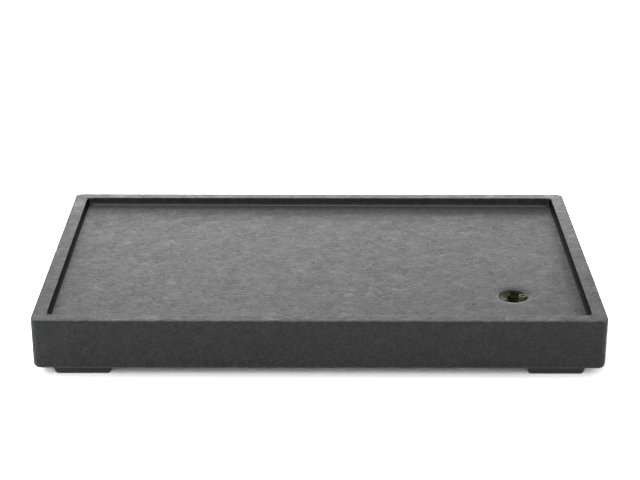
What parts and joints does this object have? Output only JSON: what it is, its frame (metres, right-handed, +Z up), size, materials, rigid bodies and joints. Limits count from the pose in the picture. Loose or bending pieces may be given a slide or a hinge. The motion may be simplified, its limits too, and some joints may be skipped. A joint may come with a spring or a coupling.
{
  "type": "gongfu tea tray",
  "caption": "Rectangular carved stone tea tray with a shallow sloping well, a corner drain with a screwed-in mouth and hose elbow below, and tapered rubber feet.",
  "frame": {"origin": "on the table, under the middle of the slab: the centre of the footprint at the feet's rest plane", "axes": "+X along the tray's length, towards the drain's end; +Y from the front to the back; +Z up"},
  "size_m": [0.4, 0.24, 0.045],
  "materials": {
    "stone": "dark basalt, honed to a soft leathered sheen, with fine grain and pale specks",
    "drain_plastic": "moulded, olive green and slightly translucent",
    "nut_plastic": "moulded black nylon",
    "seal_rubber": "smooth black seal rubber",
    "foot_rubber": "moulded black rubber, matt"
  },
  "bodies": {
    "root": {"stone_tray": "stone", "drain_mouth": "drain_plastic", "mouth_gasket": "seal_rubber", "clamp_washer": "nut_plastic", "lock_nut": "nut_plastic", "elbow_seal": "seal_rubber", "outlet_elbow": "drain_plastic", "front_left_foot": "foot_rubber", "front_right_foot": "foot_rubber", "rear_left_foot": "foot_rubber", "rear_right_foot": "foot_rubber"}
  },
  "joints": []
}
